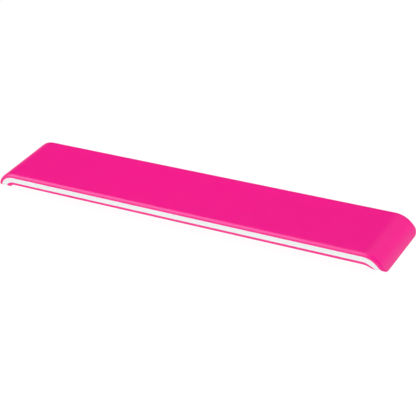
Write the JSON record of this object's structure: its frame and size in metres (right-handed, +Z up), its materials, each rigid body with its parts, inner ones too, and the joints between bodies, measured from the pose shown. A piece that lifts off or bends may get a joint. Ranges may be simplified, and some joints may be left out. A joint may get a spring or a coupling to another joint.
{
  "type": "keyboard wrist rest",
  "caption": "Long low keyboard wrist rest: an arched bridge of layered pink and white plastic with short turned-down legs and fold-out feet under it.",
  "frame": {"origin": "on the resting plane under the middle of the rest", "axes": "+X along its length to the right, +Y from the user's edge to the keyboard, +Z up"},
  "size_m": [0.49, 0.084, 0.0214],
  "materials": {
    "pink_shell": "satin, fine moulded texture",
    "white_frame": "satin",
    "white_foot": "satin",
    "grip_rubber": "matt",
    "pin_steel": "ground",
    "screw_steel": "zinc plated"
  },
  "bodies": {
    "housing": {"top_cover": "pink_shell", "middle_frame": "white_frame", "base_cover": "pink_shell", "housing_screws": "screw_steel", "left_leg_grip": "grip_rubber", "right_leg_grip": "grip_rubber", "front_left_hinge_pin": "pin_steel", "back_left_hinge_pin": "pin_steel", "front_right_hinge_pin": "pin_steel", "back_right_hinge_pin": "pin_steel"},
    "front_left_flip_foot": {"front_left_foot": "white_foot", "front_left_foot_pad": "grip_rubber"},
    "back_left_flip_foot": {"back_left_foot": "white_foot", "back_left_foot_pad": "grip_rubber"},
    "front_right_flip_foot": {"front_right_foot": "white_foot", "front_right_foot_pad": "grip_rubber"},
    "back_right_flip_foot": {"back_right_foot": "white_foot", "back_right_foot_pad": "grip_rubber"}
  },
  "joints": [
    {"name": "front_left_foot_fold", "type": "hinge", "parent": "housing", "child": "front_left_flip_foot", "pos_m": [-0.196, -0.022, 0.0103], "axis": [0, 1, 0], "range_deg": [0, 100]},
    {"name": "back_left_foot_fold", "type": "hinge", "parent": "housing", "child": "back_left_flip_foot", "pos_m": [-0.196, 0.022, 0.0103], "axis": [0, 1, 0], "range_deg": [0, 100]},
    {"name": "front_right_foot_fold", "type": "hinge", "parent": "housing", "child": "front_right_flip_foot", "pos_m": [0.196, -0.022, 0.0103], "axis": [0, -1, 0], "range_deg": [0, 100]},
    {"name": "back_right_foot_fold", "type": "hinge", "parent": "housing", "child": "back_right_flip_foot", "pos_m": [0.196, 0.022, 0.0103], "axis": [0, -1, 0], "range_deg": [0, 100]}
  ]
}
